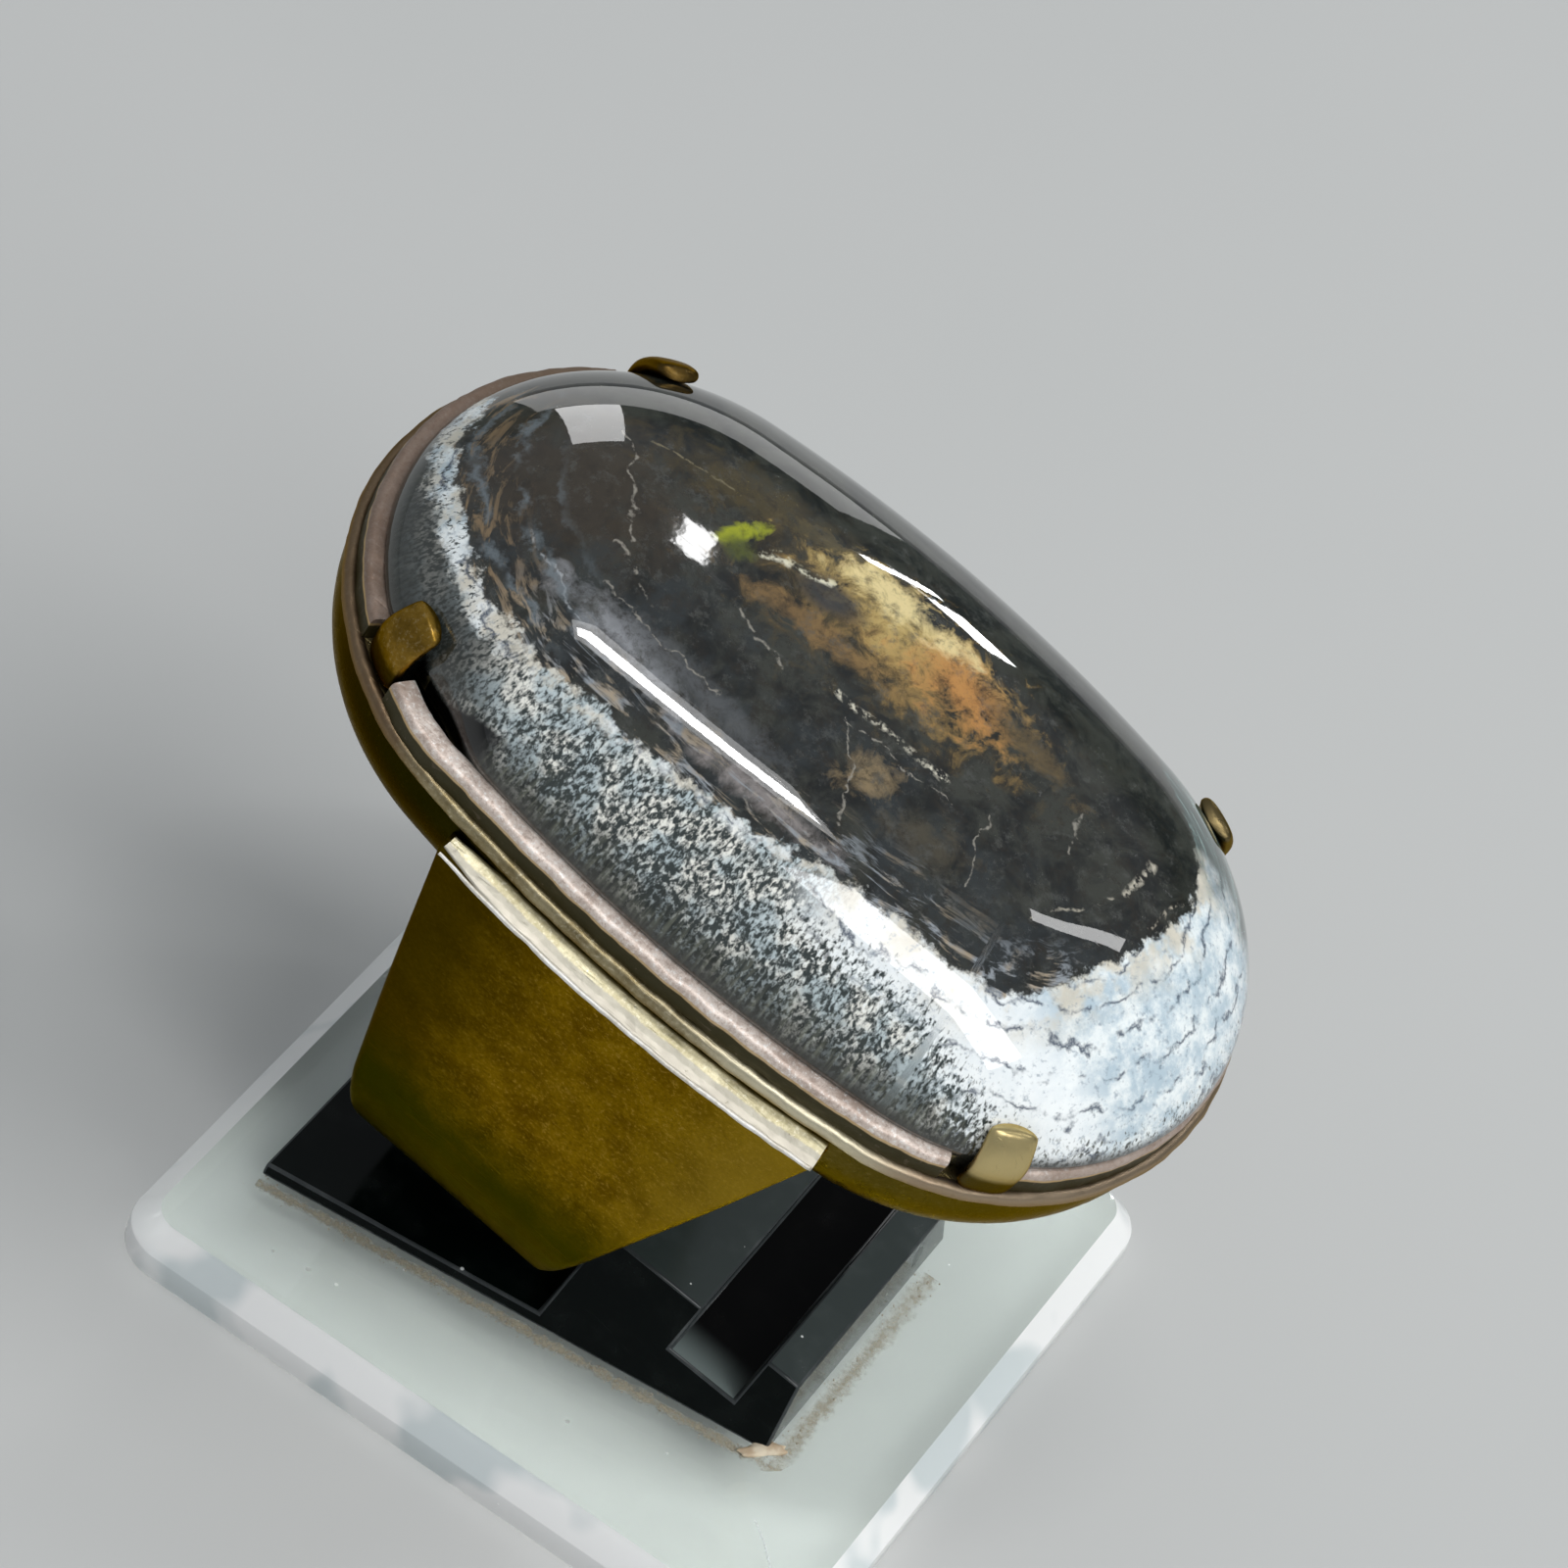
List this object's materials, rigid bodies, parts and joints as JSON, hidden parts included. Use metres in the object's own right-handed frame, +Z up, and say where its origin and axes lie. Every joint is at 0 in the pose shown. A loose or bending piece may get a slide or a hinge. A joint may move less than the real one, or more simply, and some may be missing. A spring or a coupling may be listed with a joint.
{
  "type": "agate ring on display stand",
  "caption": "Finger ring with a long oval agate dome in a bezel cup held by prongs on a wide tapered shank, leaning in a slotted holder on a clear square plate.",
  "frame": {"origin": "centre of the plate's underside", "axes": "+X along the finger hole towards the low end of the leaning ring, +Y away from the holder's near face, +Z up"},
  "size_m": [0.0363, 0.0301, 0.0369],
  "materials": {
    "ring_metal": "warm brown brass, worn satin, speckled and slightly dented",
    "agate": "polished stone, dark brown-black core with an amber patch, blue-white frosted and banded edges",
    "clear_plastic": "clear polished plastic with a faint green tint and bright bevelled sides",
    "black_plastic": "glossy black with grey edges and dust at the foot"
  },
  "bodies": {
    "root": {"setting": "ring_metal", "stone": "agate", "stand_base": "clear_plastic", "stand_block": "black_plastic"}
  },
  "joints": []
}
